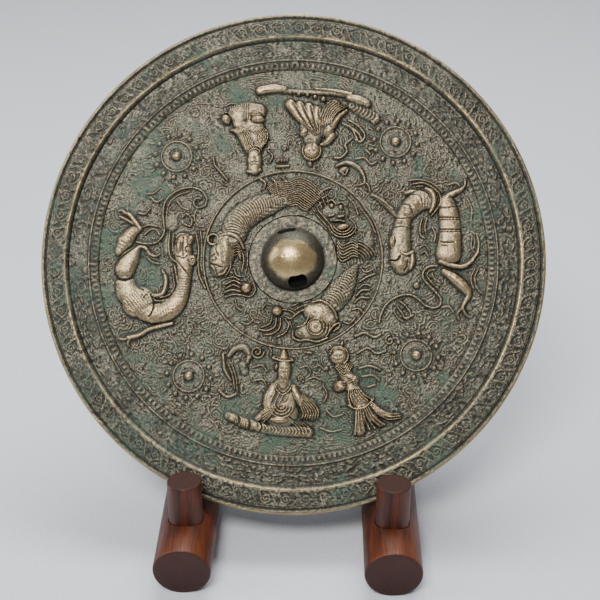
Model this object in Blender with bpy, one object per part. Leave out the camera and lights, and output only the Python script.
"""A cast bronze mirror with figures and beasts in relief, leaning on a low wooden cradle.

Metres, +Z up, origin on the floor under the middle of the whole. The decorated face looks towards -Y and up.
"""
import math

import bmesh
import bpy
from mathutils import Matrix, Vector
from mathutils.geometry import delaunay_2d_cdt
from mathutils.kdtree import KDTree

# Mirror, overall
MIRROR_RADIUS = 0.120
MIRROR_LEAN = math.radians(37.5)
RIM_THICKNESS = 0.0065
EDGE_CHAMFER = 0.0006
BACK_BULGE = 0.0010

# Rings of the decorated face, from the edge inwards
LIP_WIDTH = 0.0014
LIP_GROOVE_WIDTH = 0.0017
LIP_GROOVE_DEPTH = 0.0008
SCROLL_BAND_WIDTH = 0.0083
RIM_STEP_WIDTH = 0.0018
WRITING_BAND_WIDTH = 0.0087
WRITING_BAND_LEVEL = 0.0043
RIDGE_WIDTH = 0.0011
RIDGE_HEIGHT = 0.0007
TOOTH_BAND_WIDTH = 0.0037
TOOTH_BAND_FOOT_LEVEL = 0.0037
TOOTH_STEP_WIDTH = 0.0006
GROUND_LEVEL = 0.0029
INNER_CIRCLE_RADIUS = 0.0428
INNER_CIRCLE_WIDTH = 0.0015
INNER_CIRCLE_HEIGHT = 0.0009
SEAT_GROOVE_RADIUS = 0.0214
SEAT_GROOVE_WIDTH = 0.0012
SEAT_GROOVE_DEPTH = 0.0006

# Knob and the channel for its cord
KNOB_RADIUS = 0.0150
KNOB_HEIGHT = 0.0120
CHANNEL_WIDTH = 0.0090
CHANNEL_HEIGHT = 0.0063
CHANNEL_SILL = 0.0020
CHANNEL_ROUNDING = 0.0026
CHANNEL_TURN = math.radians(13.0)
CHANNEL_TILT = math.radians(6.5)
CHANNEL_CUTTER_REACH = 1.3 * KNOB_RADIUS

# Cradle
LOG_RADIUS = 0.0133
LOG_SPACING = 0.0950
LOG_LENGTH = 0.1500
LOG_REACH_BEFORE_PEG = 0.0240
LOG_END_CHAMFER = 0.0012
LOG_SOLE_CUT = 0.0006
PEG_RADIUS = 0.0079
PEG_LEAN = math.radians(8.0)
PEG_STAND = 0.0180
PEG_TENON = 0.0100
POST_RADIUS = 0.0078
POST_TOP_ALONG_MIRROR = 0.0300
POST_TENON = 0.0110
END_CHAMFER = 0.0008
RAIL_RADIUS = 0.0060
RAIL_TENON = 0.0060
RAIL_BEFORE_LOG_END = 0.0230
GAP = 0.0003

# Fineness of the solids
RING_SIDES = 54
INNER_RING_SIDES = 40
KNOB_SIDES = 24
LOG_SIDES = 24
PEG_SIDES = 20
STROKE_STEP = 3.8
LEAST_EDGE = 0.45
OUTLINE_SPREAD = 1.08
WIDE_STROKE = 3.0
SHOULDER_SHARE = 0.62
RING_SIDES_FROM = 1.3 * INNER_CIRCLE_RADIUS
KNOB_RING_SHARES = (0.965, 0.88, 0.7, 0.4)
BACK_RING_SHARES = (0.75, 0.45)
RIM_CHECKS = 400

# The relief is drawn in shares of the mirror's radius: 120 units reach from the centre to the edge.
UNIT = MIRROR_RADIUS / 120.0


def clear_scene():
    for thing in list(bpy.data.objects):
        bpy.data.objects.remove(thing, do_unlink=True)


def material(name, colour, metallic, roughness):
    made = bpy.data.materials.new(name)
    made.use_nodes = True
    shader = made.node_tree.nodes["Principled BSDF"]
    shader.inputs["Base Color"].default_value = (*colour, 1.0)
    shader.inputs["Metallic"].default_value = metallic
    shader.inputs["Roughness"].default_value = roughness
    return made


def new_object(name, mesh, made_of=None):
    thing = bpy.data.objects.new(name, mesh)
    bpy.context.scene.collection.objects.link(thing)
    if made_of:
        mesh.materials.append(made_of)
    return thing


# Strokes: every carved form is a rounded ridge along a smooth line of points, with half widths and a height

def smooth_line(points, values, step):
    """Points of a smooth curve through the given ones, about a step apart, with values carried along."""
    points = [Vector(p) for p in points]
    if len(points) == 1:
        return points, [values[0]]
    ends = [2 * points[0] - points[1]] + points + [2 * points[-1] - points[-2]]
    line = []
    carried = []
    for i in range(1, len(ends) - 2):
        before, start, stop, after = ends[i - 1:i + 3]
        pieces = max(1, round((stop - start).length / step))
        for k in range(pieces):
            t = k / pieces
            line.append(0.5 * (2 * start + (stop - before) * t
                               + (2 * before - 5 * start + 4 * stop - after) * t * t
                               + (3 * start - before - 3 * stop + after) * t * t * t))
            carried.append(values[i - 1] * (1 - t) + values[i] * t)
    line.append(points[-1])
    carried.append(values[-1])
    return line, carried


class Stroke:
    """A rounded ridge of the relief, its line, half widths and height in mirror units."""

    def __init__(self, line, half_widths, height):
        self.line = line
        self.half_widths = half_widths
        self.height = height

    def rise(self, u, v):
        """Height of the ridge over the ground at one place, or 0 beside it."""
        here = Vector((u, v))
        best = 0.0
        count = len(self.line)
        for i in range(max(1, count - 1)):
            start = self.line[i]
            stop = self.line[min(i + 1, count - 1)]
            span = stop - start
            length_squared = span.length_squared
            t = min(1.0, max(0.0, (here - start).dot(span) / length_squared)) if length_squared else 0.0
            width = self.half_widths[i] * (1 - t) + self.half_widths[min(i + 1, count - 1)] * t
            share = (here - start - span * t).length / max(width, 0.05)
            if share < 1.0:
                fullness = min(1.0, 0.45 + 0.55 * width / max(self.half_widths))
                best = max(best, self.height * fullness * math.sqrt(1.0 - share * share))
        return best

    def outline(self, share):
        """Closed loop round the ridge at a share of its half width."""
        count = len(self.line)
        if count == 1:
            sides = 9 if self.half_widths[0] > 1.8 else 6
            reach = self.half_widths[0] * share * OUTLINE_SPREAD
            return [self.line[0] + reach * Vector((math.cos(a), math.sin(a)))
                    for a in (2 * math.pi * k / sides for k in range(sides))]
        along = []
        for i in range(count):
            way = self.line[min(i + 1, count - 1)] - self.line[max(i - 1, 0)]
            along.append(way.normalized())
        left = []
        right = []
        for point, way, width in zip(self.line, along, self.half_widths):
            across = Vector((-way.y, way.x)) * width * share * OUTLINE_SPREAD
            left.append(point + across)
            right.append(point - across)
        last_cap = end_cap(self.line[-1], along[-1], self.half_widths[-1] * share * OUTLINE_SPREAD)
        first_cap = end_cap(self.line[0], -along[0], self.half_widths[0] * share * OUTLINE_SPREAD)
        return left + last_cap + right[::-1] + first_cap


def end_cap(point, way, reach):
    """Points of the round end of a stroke, from its left side to its right side."""
    reach = max(reach, LEAST_EDGE * 1.2)
    inner_points = 1 if reach < 1.0 else 2 if reach < 2.0 else 3
    across = Vector((-way.y, way.x))
    angles = [math.pi * (k + 1) / (inner_points + 1) for k in range(inner_points)]
    return [point + reach * (across * math.cos(a) + way * math.sin(a)) for a in angles]


def limb(points, half_widths, height):
    """A stroke through points; one half width serves them all, or there is one for each."""
    if not isinstance(half_widths, (list, tuple)):
        half_widths = [half_widths] * len(points)
    line, widths = smooth_line(points, half_widths, STROKE_STEP)
    return Stroke(line, widths, height)


def lump(centre, half_length, half_width, height, turn=0.0):
    """An oval boss, its long half length turned by degrees from +u."""
    if abs(half_length - half_width) < 0.3:
        return Stroke([Vector(centre)], [half_length], height)
    way = Vector((math.cos(math.radians(turn)), math.sin(math.radians(turn))))
    reach = half_length - 0.55 * half_width
    line = [Vector(centre) + way * reach * s for s in (-1.0, -0.5, 0.0, 0.5, 1.0)]
    widths = [half_width * share for share in (0.55, 0.88, 1.0, 0.88, 0.55)]
    return Stroke(line, widths, height)


def arc(centre, radius, start, stop, half_width, height):
    """A stroke along a circle, between two angles in degrees."""
    pieces = max(2, round(abs(math.radians(stop - start)) * radius / STROKE_STEP))
    angles = [math.radians(start + (stop - start) * k / pieces) for k in range(pieces + 1)]
    line = [Vector((centre[0] + radius * math.cos(a), centre[1] + radius * math.sin(a))) for a in angles]
    return Stroke(line, [half_width] * len(line), height)


def fan(root, start, stop, reach, count, half_width, height):
    """Folds that spread from a root, between two angles in degrees."""
    folds = []
    for k in range(count):
        angle = math.radians(start + (stop - start) * k / max(1, count - 1))
        way = Vector((math.cos(angle), math.sin(angle)))
        near = Vector(root) + way * reach * 0.25
        middle = Vector(root) + way * reach * 0.65
        far = Vector(root) + way * reach
        folds.append(limb([near, middle, far], [half_width * 0.45, half_width * 0.8, half_width], height))
    return folds


# Motifs, each in mirror units from the centre, u to the right and v towards the top

def sun_boss(centre):
    """A round boss in a ring, with a circle of dots round it."""
    centre = Vector(centre)
    dots = 12
    dot_circle = 10.4
    first_dot = -6.0
    forms = [Stroke([centre], [2.5], 2.6), arc(centre, 7.5, 0, 360, 0.8, 0.8)]
    for k in range(dots):
        angle = math.radians(first_dot + 360.0 * k / dots)
        forms.append(Stroke([centre + dot_circle * Vector((math.cos(angle), math.sin(angle)))], [1.3], 1.5))
    return forms


def left_beast():
    """A beast curled like a C: head at the right, back along the bottom, hind legs at the top left."""
    return [
        limb([(-52.4, 8.5), (-52.4, -1)], [4.0, 4.6], 3.0),
        lump((-48, -1.3), 2.5, 2.4, 3.1),
        limb([(-51.8, -3.5), (-51.6, -10), (-52.6, -16), (-55.4, -22)], [4.0, 3.3, 3.7, 4.8], 3.0),
        limb([(-57, -23.6), (-60, -25.8), (-66, -27), (-71, -27)], [5.0, 5.2, 5.0, 3.4], 3.0),
        lump((-73.2, -21.6), 7.6, 7.2, 3.2, 30),
        limb([(-80, -13), (-77, -18)], [4.9, 5.4], 2.8),
        limb([(-80.2, -5.8), (-78, -0.8), (-74.4, 4.4)], [4.8, 4.6, 1.7], 3.1),
        limb([(-82.8, 3), (-79.6, 8.4), (-74.4, 13.4)], [2.4, 3.8, 1.5], 3.0),
        limb([(-73.4, 13.8), (-76.5, 18), (-81.4, 21.4)], [1.4, 1.4, 0.8], 2.6),
        limb([(-73.4, 5.2), (-70, 3.8), (-67, 0.8)], [1.1, 1.1, 0.8], 2.0),
        limb([(-57, -31.6), (-68, -34.6), (-77.5, -38.8)], [1.2, 1.3, 1.8], 2.4),
        limb([(-68, -18), (-62.4, -17.6), (-60.4, -13), (-61.6, -7.4)], [1.2, 1.4, 1.3, 0.9], 2.0),
    ]


def right_beast():
    """A beast with an arched neck and hanging head, its banded body upright beside it."""
    return [
        limb([(52.2, 16.6), (51.3, 8), (51.8, 0.6)], [4.2, 5.0, 5.6], 2.7),
        lump((52, -2.6), 4.2, 3.8, 3.4, 0),
        lump((47.4, 8.6), 3.6, 1.8, 3.5, 88),
        limb([(52, 18), (53.6, 22), (57, 26.4), (61, 28.9), (65.4, 27.4)], [3.9, 4.1, 4.9, 5.2, 3.2], 2.7),
        limb([(63.2, 34.6), (67, 30.6), (65.4, 23.2)], [1.1, 1.7, 0.9], 3.3),
        limb([(73.4, 28.6), (74.4, 21), (75, 13), (74.2, 3.4)], [3.8, 5.1, 5.4, 6.2], 3.0),
        limb([(74, 31.4), (80.4, 34.4), (82, 38.6)], [1.8, 1.2, 0.7], 2.4),
        limb([(70, -0.6), (76, -2.4), (83, -1.6), (88, 4), (87.8, 12)], [1.4, 1.5, 1.3, 1.1, 0.7], 2.5),
        limb([(72, -5.2), (78.6, -9.8), (83.6, -16), (80.4, -23)], [1.9, 2.9, 1.9, 1.1], 2.8),
        limb([(38, 31), (43.4, 28), (49.2, 21)], [1.2, 1.9, 0.9], 1.8),
    ]


def kneeling_figure():
    """A kneeling figure in a wide robe, upside down at the top of the mirror."""
    return [
        limb([(-28.6, 70.6), (-23, 71.6), (-18, 71.8)], [4.2, 5.0, 4.4], 2.3),
        limb([(-27.4, 69), (-24.6, 63)], [3.6, 2.4], 2.2),
        lump((-33.2, 67.8), 2.9, 2.2, 3.2, -50),
        lump((-17.6, 68), 3.3, 2.1, 3.4, -8),
        limb([(-23.4, 75.6), (-23.4, 67.6)], 0.9, 2.9),
        limb([(-20, 64), (-19, 58), (-19.4, 51.6)], [5.6, 5.6, 2.8], 2.6),
        limb([(-30.4, 62.6), (-25, 58.6), (-22.4, 52.2)], [1.2, 2.1, 1.5], 2.8),
        limb([(-19.2, 50.6), (-19.2, 43.6)], [3.4, 3.2], 3.0),
        limb([(-22.4, 42.2), (-16.2, 43)], 1.0, 2.4),
    ]


def musician():
    """A seated musician with a long zither, upside down at the top of the mirror."""
    forms = [
        lump((8.4, 52.4), 4.5, 4.4, 3.3),
        lump((7.8, 46.4), 1.6, 1.6, 2.2),
        limb([(8.6, 58.6), (8.4, 64), (8, 70)], [4.4, 6.0, 5.6], 2.0),
        limb([(14.6, 63), (17, 69), (18.8, 74.6)], [4.0, 5.2, 4.0], 2.2),
        lump((4.6, 61.6), 2.3, 2.2, 3.0),
        lump((16.4, 62.4), 3.2, 2.8, 3.5, 60),
        limb([(18, 60), (13, 55.8)], [2.0, 1.0], 2.6),
        limb([(18.6, 65), (25, 72.6)], [1.6, 1.0], 3.2),
        limb([(-17, 82.2), (-10.6, 83.4), (-5, 83)], [2.2, 2.4, 1.6], 2.7),
        limb([(-4, 81.6), (8, 80.8), (20, 80.6)], 1.1, 1.8),
        limb([(24, 80.4), (31, 78), (35, 76.2)], [1.4, 2.2, 1.5], 3.0),
        limb([(27.6, 75), (33.6, 72), (39.2, 68.8)], [1.6, 2.8, 2.0], 2.1),
        lump((13.8, 78.2), 1.4, 1.4, 2.8),
    ]
    lobes = ((-2.2, 75.6, 2.5), (2.2, 75.2, 2.1), (6.6, 74.4, 2.1), (10.6, 72.8, 1.9))
    for k, (u, v, half_width) in enumerate(lobes):
        root = Vector((8.4 + 1.2 * k, 62 + 0.6 * k))
        tip = Vector((u, v))
        middle = root.lerp(tip, 0.58) - Vector((0.5, 0.5))
        forms.append(limb([root, middle, tip], [0.8, 1.4, half_width], 2.9))
    return forms


def seated_deity():
    """A seated figure in a pointed hat and folded robes on a low mat."""
    forms = [
        limb([(-3.6, -43.6), (-3.5, -47.2)], [1.1, 2.2], 2.8),
        limb([(-8.8, -47.6), (-4, -48.8), (0.8, -48.4)], 0.8, 3.0),
        limb([(-3.2, -50.6), (-3.3, -55.4)], [3.2, 3.0], 3.1),
        limb([(-3.4, -56.4), (-3.7, -60)], [2.6, 2.2], 2.7),
        limb([(-3.8, -60.4), (-4.4, -66.6), (-4.6, -72)], [4.4, 7.6, 8.2], 2.4),
        limb([(-8.2, -61), (-10.2, -65.6), (-11.6, -69.6)], [2.2, 2.9, 2.0], 2.9),
        limb([(1.2, -61.4), (3.2, -65.6), (4.6, -69)], [1.8, 2.1, 1.4], 2.9),
        limb([(4.6, -66.6), (8, -70), (10, -73.2)], [2.4, 4.4, 3.6], 2.3),
        limb([(-9, -70.4), (-15.6, -76)], [2.5, 1.5], 2.3),
        lump((-5.3, -76.4), 4.8, 2.2, 3.6, -2),
        limb([(-29.4, -74.8), (-22, -78), (-12, -80.6), (-2, -81.6), (8.2, -82)],
             [1.9, 2.6, 2.4, 2.6, 2.8], 2.0),
        lump((-27.2, -75.8), 2.9, 2.2, 2.4, -25),
        lump((-21.8, -78), 2.8, 2.2, 2.4, -25),
    ]
    forms += fan((2, -66), -28, -72, 12.0, 4, 1.5, 2.7)
    forms += [arc((-4.4, -69.6), radius, -165, -20, 0.8, 2.9) for radius in (2.6, 5.2)]
    return forms


def attendant():
    """A standing attendant with joined sleeves and a long trailing robe."""
    return [
        lump((22.4, -46.2), 4.4, 4.4, 3.2),
        lump((23.8, -40.4), 1.7, 1.0, 2.2, 80),
        lump((26.6, -45.4), 1.6, 1.0, 2.8, 90),
        limb([(24, -51), (28.2, -60)], [3.2, 3.6], 2.4),
        lump((23.2, -60.2), 3.4, 2.9, 3.3, 30),
        limb([(27, -55.4), (30.2, -58.6)], [1.6, 1.9], 3.1),
        limb([(29, -62), (32.6, -67.8)], [2.9, 4.4], 2.6),
        limb([(27, -69.2), (31, -70.8), (38.8, -66.2)], 0.9, 2.9),
        limb([(32.2, -71.4), (32.6, -81)], [2.2, 2.8], 2.4),
        limb([(35, -70), (42.4, -78)], [2.2, 1.8], 2.4),
        limb([(37.4, -68.6), (43.6, -73.2), (51.6, -73.8)], [1.6, 1.9, 0.8], 2.4),
    ]


def inner_beasts():
    """Two ribbed dragons that coil round the knob, with their paws and a third head."""
    return [
        limb([(-33.4, 7.6), (-33.6, 2.4), (-35.8, -5)], [5.2, 6.3, 3.4], 3.0),
        limb([(-35.6, 10.8), (-30.4, 11.8), (-23.6, 5)], [1.0, 1.2, 0.8], 3.0),
        limb([(-28.6, 12.6), (-26, 18), (-19.6, 23.2), (-11.6, 26.4), (-4, 28)],
             [5.4, 6.7, 6.5, 5.4, 3.2], 2.5),
        lump((-22, -14.3), 2.6, 2.6, 3.4),
        lump((-7, -25), 2.6, 2.6, 3.3),
        lump((13.6, -26), 6.8, 5.8, 2.8, -30),
        lump((11.3, -32.6), 4.2, 4.2, 3.2),
        limb([(2, -34), (3, -38), (14, -38.6)], [1.2, 1.3, 1.0], 2.2),
        limb([(20.6, -20.4), (25, -13), (29.4, -4.4)], [5.4, 5.2, 2.0], 2.4),
        lump((25.4, 4.4), 4.8, 4.4, 1.8),
        lump((23.6, 15.2), 5.4, 2.8, 2.6, 12),
        lump((20.4, 25), 6.4, 4.4, 2.2, 0),
        lump((36, 8), 6.0, 3.0, 1.6, 84),
        lump((3, 34.5), 8.5, 4.4, 1.8, 0),
    ]


def relief_forms():
    forms = []
    for centre in ((-56.8, 49.5), (48.8, 57.6), (-48.5, -56.4), (58.9, -45.3)):
        forms += sun_boss(centre)
    for motif in (left_beast, right_beast, kneeling_figure, musician, seated_deity, attendant, inner_beasts):
        forms += motif()
    return forms


# Turned levels of the decorated face

def ring_profile():
    """Radius and level of each turned edge, from the rim's chamfer inwards to the foot of the knob."""
    levels = [(MIRROR_RADIUS, RIM_THICKNESS - EDGE_CHAMFER), (MIRROR_RADIUS - EDGE_CHAMFER, RIM_THICKNESS)]
    radius = MIRROR_RADIUS - LIP_WIDTH
    levels.append((radius, RIM_THICKNESS))
    levels.append((radius - LIP_GROOVE_WIDTH / 2, RIM_THICKNESS - LIP_GROOVE_DEPTH))
    radius -= LIP_GROOVE_WIDTH
    levels.append((radius, RIM_THICKNESS))
    radius -= SCROLL_BAND_WIDTH
    levels.append((radius, RIM_THICKNESS))
    radius -= RIM_STEP_WIDTH
    levels.append((radius, WRITING_BAND_LEVEL))
    radius -= WRITING_BAND_WIDTH
    levels.append((radius, WRITING_BAND_LEVEL))
    levels.append((radius - RIDGE_WIDTH / 2, WRITING_BAND_LEVEL + RIDGE_HEIGHT))
    radius -= RIDGE_WIDTH
    levels.append((radius, WRITING_BAND_LEVEL))
    radius -= TOOTH_BAND_WIDTH
    levels.append((radius, TOOTH_BAND_FOOT_LEVEL))
    radius -= TOOTH_STEP_WIDTH
    levels.append((radius, GROUND_LEVEL))
    radius = INNER_CIRCLE_RADIUS
    levels.append((radius + INNER_CIRCLE_WIDTH / 2, GROUND_LEVEL))
    levels.append((radius, GROUND_LEVEL + INNER_CIRCLE_HEIGHT))
    levels.append((radius - INNER_CIRCLE_WIDTH / 2, GROUND_LEVEL))
    radius = SEAT_GROOVE_RADIUS
    levels.append((radius + SEAT_GROOVE_WIDTH / 2, GROUND_LEVEL))
    levels.append((radius, GROUND_LEVEL - SEAT_GROOVE_DEPTH))
    levels.append((radius - SEAT_GROOVE_WIDTH / 2, GROUND_LEVEL))
    levels.append((KNOB_RADIUS, GROUND_LEVEL))
    return levels


def knob_rings():
    return [KNOB_RADIUS * share for share in KNOB_RING_SHARES]


def turned_level(radius, profile):
    """Level of the face without its figures, at a distance from the centre."""
    if radius < KNOB_RADIUS - 1e-7:
        return GROUND_LEVEL + KNOB_HEIGHT * math.sqrt(1.0 - (radius / KNOB_RADIUS) ** 2)
    radius = max(radius, KNOB_RADIUS)
    for (outer, outer_level), (inner, inner_level) in zip(profile, profile[1:]):
        if inner <= radius <= outer:
            share = (radius - inner) / max(outer - inner, 1e-9)
            return inner_level + (outer_level - inner_level) * share
    return profile[0][1]


def face_level(u, v, profile, forms):
    """Level at a place in mirror units, with the figures on the ground."""
    level = turned_level(math.hypot(u, v) * UNIT, profile)
    rise = max((form.rise(u, v) for form in forms), default=0.0)
    return max(level, GROUND_LEVEL + rise * UNIT)


def circle(radius, sides):
    return [Vector((radius * math.cos(2 * math.pi * k / sides), radius * math.sin(2 * math.pi * k / sides)))
            for k in range(sides)]


def merge_close(points, edges, least):
    """Points with near neighbours merged into the earlier one, and the edges that are left."""
    tree = KDTree(len(points))
    for index, point in enumerate(points):
        tree.insert((point.x, point.y, 0.0), index)
    tree.balance()
    chosen = {}
    for index, point in enumerate(points):
        if index in chosen:
            continue
        chosen[index] = index
        for _, other, _ in tree.find_range((point.x, point.y, 0.0), least):
            if other not in chosen:
                chosen[other] = index
    kept = sorted(set(chosen.values()))
    place = {index: k for k, index in enumerate(kept)}
    kept_edges = set()
    for a, b in edges:
        a = place[chosen[a]]
        b = place[chosen[b]]
        if a != b:
            kept_edges.add((min(a, b), max(a, b)))
    return [points[index] for index in kept], sorted(kept_edges)


def planar_net(forms, profile):
    """Triangles in the plane of the face that follow every ring, outline and crest."""
    points = []
    edges = []

    def add_line(line, closed):
        first = len(points)
        points.extend(Vector(p) for p in line)
        edges.extend((first + k, first + k + 1) for k in range(len(line) - 1))
        if closed:
            edges.append((first + len(line) - 1, first))

    for radius, _ in profile[:-1]:
        sides = RING_SIDES if radius > RING_SIDES_FROM else INNER_RING_SIDES
        add_line(circle(radius / UNIT, sides), True)
    for radius in [KNOB_RADIUS] + knob_rings():
        add_line(circle(radius / UNIT, KNOB_SIDES), True)
    points.append(Vector((0.0, 0.0)))
    for form in forms:
        add_line(form.line, False)
    for form in forms:
        add_line(form.outline(1.0), True)
        if max(form.half_widths) > WIDE_STROKE:
            add_line(form.outline(SHOULDER_SHARE), True)
    for _ in range(3):
        points, edges = merge_close(points, edges, LEAST_EDGE)
        points, all_edges, faces, _, origin, _ = delaunay_2d_cdt(points, edges, [], 0, 1e-5)
        edges = [edge for edge, source in zip(all_edges, origin) if source]
    return points, faces


def mirror_mesh():
    """Closed mesh of the mirror lying flat: reflecting face at 0, decorated face up."""
    profile = ring_profile()
    forms = relief_forms()
    points, faces = planar_net(forms, profile)
    rim = RIM_THICKNESS - EDGE_CHAMFER
    edge_reach = MIRROR_RADIUS * math.cos(math.pi / RING_SIDES) - 1e-6
    shape = bmesh.new()
    corners = []
    for point in points:
        on_edge = point.length * UNIT > edge_reach
        level = rim if on_edge else face_level(point.x, point.y, profile, forms)
        corners.append(shape.verts.new((point.x * UNIT, point.y * UNIT, level)))
    for face in faces:
        shape.faces.new([corners[k] for k in face])
    for radius, level in ((MIRROR_RADIUS, EDGE_CHAMFER), (MIRROR_RADIUS - EDGE_CHAMFER, 0.0)):
        extrude_ring(shape, radius, level)
    for share in BACK_RING_SHARES:
        extrude_ring(shape, MIRROR_RADIUS * share, -BACK_BULGE * (1.0 - share * share))
    border = [edge for edge in shape.edges if edge.is_boundary]
    made = bmesh.ops.extrude_edge_only(shape, edges=border)["geom"]
    tip = [v for v in made if isinstance(v, bmesh.types.BMVert)]
    bmesh.ops.pointmerge(shape, verts=tip, merge_co=(0.0, 0.0, -BACK_BULGE))
    bmesh.ops.recalc_face_normals(shape, faces=shape.faces)
    mesh = bpy.data.meshes.new("bronze_mirror")
    shape.to_mesh(mesh)
    shape.free()
    return mesh


def extrude_ring(shape, radius, level):
    """Carries the open border of a mesh on to a circle at another radius and level."""
    border = [edge for edge in shape.edges if edge.is_boundary]
    made = bmesh.ops.extrude_edge_only(shape, edges=border)["geom"]
    for vert in made:
        if isinstance(vert, bmesh.types.BMVert):
            here = Vector((vert.co.x, vert.co.y)).normalized() * radius
            vert.co = (here.x, here.y, level)


# Placing: the mirror's plane, and the cradle worked out from where the rim rests

UP_FACE = Vector((0.0, math.sin(MIRROR_LEAN), math.cos(MIRROR_LEAN)))
OUT_OF_FACE = Vector((0.0, -math.cos(MIRROR_LEAN), math.sin(MIRROR_LEAN)))


def on_mirror(u, v, level):
    """World offset from the middle of the reflecting face's rim plane."""
    return Vector((u, 0.0, 0.0)) + UP_FACE * v + OUT_OF_FACE * level


def rim_points(level):
    """Lower half of the rim at one level, as offsets."""
    for k in range(RIM_CHECKS + 1):
        angle = math.pi + math.pi * k / RIM_CHECKS
        yield on_mirror(MIRROR_RADIUS * math.cos(angle), MIRROR_RADIUS * math.sin(angle), level)


def mirror_rest_height():
    """Height of the mirror's centre over the logs' axes, so that the rim just clears them."""
    reach = LOG_RADIUS + GAP
    height = 0.0
    for level in (0.0, RIM_THICKNESS):
        for point in rim_points(level):
            aside = abs(point.x) - LOG_SPACING / 2
            if abs(aside) < reach:
                height = max(height, math.sqrt(reach * reach - aside * aside) - point.z)
    return height


LOG_AXIS_HEIGHT = LOG_RADIUS - LOG_SOLE_CUT
CENTRE_HEIGHT = LOG_AXIS_HEIGHT + mirror_rest_height()
LOG_TOP = 2 * LOG_RADIUS - LOG_SOLE_CUT


def peg_base_y():
    """Where the peg's axis meets the log's top, so that the peg just clears the rim behind it."""
    nearest = 1.0
    for level in (0.0, RIM_THICKNESS):
        for point in rim_points(level):
            aside = abs(point.x) - LOG_SPACING / 2
            if abs(aside) < PEG_RADIUS and point.x > 0:
                over_log = CENTRE_HEIGHT + point.z - LOG_TOP
                half_chord = math.sqrt(PEG_RADIUS ** 2 - aside ** 2) / math.cos(PEG_LEAN)
                nearest = min(nearest, point.y - half_chord - over_log * math.tan(PEG_LEAN))
    return nearest - GAP / math.cos(PEG_LEAN)


PEG_Y = peg_base_y()
LOG_FRONT = PEG_Y - LOG_REACH_BEFORE_PEG
LOG_BACK = LOG_FRONT + LOG_LENGTH
MIRROR_BACK = on_mirror(0.0, MIRROR_RADIUS, EDGE_CHAMFER).y
MIDDLE_SHIFT = Vector((0.0, -(LOG_FRONT + max(MIRROR_BACK, LOG_BACK)) / 2, 0.0))
MIRROR_CENTRE = MIDDLE_SHIFT + Vector((0.0, 0.0, CENTRE_HEIGHT))


def frame_matrix(place, along, side=Vector((1.0, 0.0, 0.0))):
    """Matrix that turns +Z into a direction, with +X kept near a side direction."""
    along = along.normalized()
    forward = along.cross(side).normalized()
    side = forward.cross(along)
    matrix = Matrix((side, forward, along)).transposed().to_4x4()
    matrix.translation = place
    return matrix


def bar_mesh(name, radius, length, sides, chamfer):
    """Round bar from 0 to its length along +Z, with chamfered ends."""
    shape = bmesh.new()
    rings = []
    for ring_radius, z in ((radius - chamfer, 0.0), (radius, chamfer), (radius, length - chamfer),
                           (radius - chamfer, length)):
        rings.append([shape.verts.new((p.x, p.y, z)) for p in circle(ring_radius, sides)])
    for low, high in zip(rings, rings[1:]):
        for k in range(sides):
            n = (k + 1) % sides
            shape.faces.new((low[k], low[n], high[n], high[k]))
    shape.faces.new(list(reversed(rings[0])))
    shape.faces.new(rings[-1])
    mesh = bpy.data.meshes.new(name)
    shape.to_mesh(mesh)
    shape.free()
    mesh.shade_smooth()
    mesh.set_sharp_from_angle(angle=math.radians(35))
    return mesh


def cutter(name, mesh, matrix):
    thing = new_object(name, mesh)
    thing.matrix_world = matrix
    thing.hide_render = True
    thing.display_type = "WIRE"
    return thing


def cut(thing, tool):
    step = thing.modifiers.new(tool.name, "BOOLEAN")
    step.operation = "DIFFERENCE"
    step.solver = "EXACT"
    step.object = tool


def box_mesh(name, low, high):
    shape = bmesh.new()
    bmesh.ops.create_cube(shape, size=1.0)
    for vert in shape.verts:
        vert.co = Vector([low[k] if vert.co[k] < 0 else high[k] for k in range(3)])
    mesh = bpy.data.meshes.new(name)
    shape.to_mesh(mesh)
    shape.free()
    return mesh


def channel_mesh():
    """Cutter for the cord's channel: a rounded bar along Y, half its height over and under the origin."""
    half = CHANNEL_WIDTH / 2
    high = CHANNEL_HEIGHT / 2
    low = -high
    corner_steps = 4
    section = []
    for side, level, turn in ((1, low, -90), (1, high, 0), (-1, high, 90), (-1, low, 180)):
        inwards = 1 if level == low else -1
        centre = Vector((side * (half - CHANNEL_ROUNDING), level + inwards * CHANNEL_ROUNDING))
        for k in range(corner_steps + 1):
            angle = math.radians(turn + 90 * k / corner_steps)
            section.append(centre + CHANNEL_ROUNDING * Vector((math.cos(angle), math.sin(angle))))
    shape = bmesh.new()
    near = [shape.verts.new((p.x, -CHANNEL_CUTTER_REACH, p.y)) for p in section]
    far = [shape.verts.new((p.x, CHANNEL_CUTTER_REACH, p.y)) for p in section]
    for k in range(len(section)):
        n = (k + 1) % len(section)
        shape.faces.new((near[k], near[n], far[n], far[k]))
    shape.faces.new(near)
    shape.faces.new(far)
    bmesh.ops.recalc_face_normals(shape, faces=shape.faces)
    mesh = bpy.data.meshes.new("cord_channel")
    shape.to_mesh(mesh)
    shape.free()
    return mesh


def make_mirror(bronze):
    mirror = new_object("bronze_mirror", mirror_mesh(), bronze)
    matrix = Matrix((Vector((1.0, 0.0, 0.0)), UP_FACE, OUT_OF_FACE)).transposed().to_4x4()
    matrix.translation = MIRROR_CENTRE
    mirror.matrix_world = matrix
    middle_level = GROUND_LEVEL + CHANNEL_SILL + CHANNEL_HEIGHT / 2
    turned = Matrix.Rotation(CHANNEL_TURN, 4, "Z") @ Matrix.Rotation(-CHANNEL_TILT, 4, "X")
    channel_matrix = matrix @ Matrix.Translation((0.0, 0.0, middle_level)) @ turned
    cut(mirror, cutter("cord_channel", channel_mesh(), channel_matrix))


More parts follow.
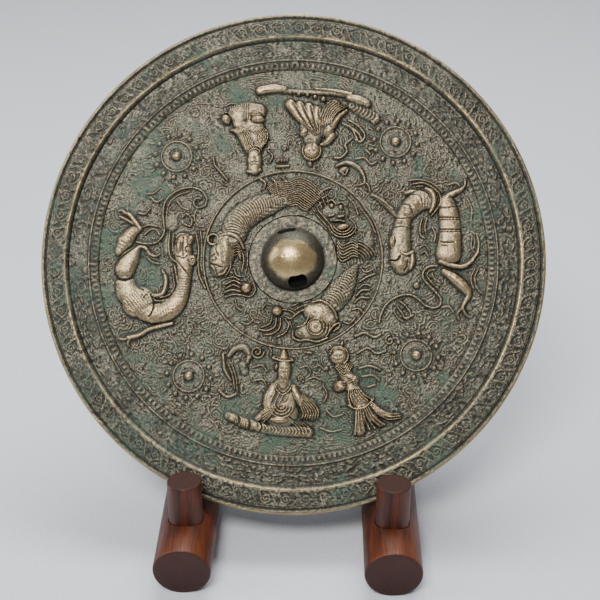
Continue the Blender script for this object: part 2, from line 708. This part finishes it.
def make_cradle_side(side_name, side, wood):
    """One log with its front peg and back post, at one side of the middle."""
    x = side * LOG_SPACING / 2
    log_mesh = bar_mesh(side_name + "_foot_log", LOG_RADIUS, LOG_LENGTH, LOG_SIDES, LOG_END_CHAMFER)
    log = new_object(side_name + "_foot_log", log_mesh, wood)
    log_place = MIDDLE_SHIFT + Vector((x, LOG_FRONT, LOG_AXIS_HEIGHT))
    log.matrix_world = frame_matrix(log_place, Vector((0.0, 1.0, 0.0)))
    sole_low = (x - LOG_RADIUS, -LOG_LENGTH, -LOG_RADIUS)
    sole_high = (x + LOG_RADIUS, LOG_LENGTH, 0.0)
    sole = box_mesh(side_name + "_sole_cut", sole_low, sole_high)
    cut(log, cutter(side_name + "_sole_cut", sole, Matrix.Identity(4)))

    peg_way = Vector((0.0, math.sin(PEG_LEAN), math.cos(PEG_LEAN)))
    peg_foot = MIDDLE_SHIFT + Vector((x, PEG_Y, LOG_TOP)) - peg_way * PEG_TENON
    peg_length = PEG_TENON + PEG_STAND
    peg_mesh = bar_mesh(side_name + "_front_peg", PEG_RADIUS, peg_length, PEG_SIDES, END_CHAMFER)
    peg = new_object(side_name + "_front_peg", peg_mesh, wood)
    peg.matrix_world = frame_matrix(peg_foot, peg_way)
    socket_name = side_name + "_peg_socket"
    socket_mesh = bar_mesh(socket_name, PEG_RADIUS + GAP, peg_length, PEG_SIDES, END_CHAMFER)
    cut(log, cutter(socket_name, socket_mesh, frame_matrix(peg_foot - peg_way * GAP, peg_way)))

    post_level = -(BACK_BULGE + GAP + POST_RADIUS)
    at_log_top = (LOG_TOP - CENTRE_HEIGHT - post_level * OUT_OF_FACE.z) / UP_FACE.z
    post_foot = MIRROR_CENTRE + on_mirror(x, at_log_top - POST_TENON, post_level)
    post_length = POST_TOP_ALONG_MIRROR - at_log_top + POST_TENON
    post_mesh = bar_mesh(side_name + "_back_post", POST_RADIUS, post_length, PEG_SIDES, END_CHAMFER)
    post = new_object(side_name + "_back_post", post_mesh, wood)
    post.matrix_world = frame_matrix(post_foot, UP_FACE)
    socket_name = side_name + "_post_socket"
    socket_mesh = bar_mesh(socket_name, POST_RADIUS + GAP, post_length, PEG_SIDES, END_CHAMFER)
    cut(log, cutter(socket_name, socket_mesh, frame_matrix(post_foot - UP_FACE * GAP, UP_FACE)))
    return log


def make_rail(logs, wood):
    """Round rail between the logs, its ends let into their inner sides."""
    half = LOG_SPACING / 2 - LOG_RADIUS + RAIL_TENON
    place = MIDDLE_SHIFT + Vector((-half, LOG_BACK - RAIL_BEFORE_LOG_END, LOG_AXIS_HEIGHT))
    along = Vector((1.0, 0.0, 0.0))
    up = Vector((0.0, 0.0, 1.0))
    rail_mesh = bar_mesh("cross_rail", RAIL_RADIUS, 2 * half, PEG_SIDES, END_CHAMFER)
    rail = new_object("cross_rail", rail_mesh, wood)
    rail.matrix_world = frame_matrix(place, along, up)
    socket_mesh = bar_mesh("rail_sockets", RAIL_RADIUS + GAP, 2 * (half + GAP), PEG_SIDES, END_CHAMFER)
    socket = cutter("rail_sockets", socket_mesh, frame_matrix(place - along * GAP, along, up))
    for log in logs:
        cut(log, socket)


def main():
    clear_scene()
    bronze = material("patinated_bronze", (0.23, 0.20, 0.15), 0.85, 0.42)
    wood = material("red_brown_wood", (0.16, 0.055, 0.035), 0.0, 0.55)
    make_mirror(bronze)
    logs = [make_cradle_side("left", -1, wood), make_cradle_side("right", 1, wood)]
    make_rail(logs, wood)


main()
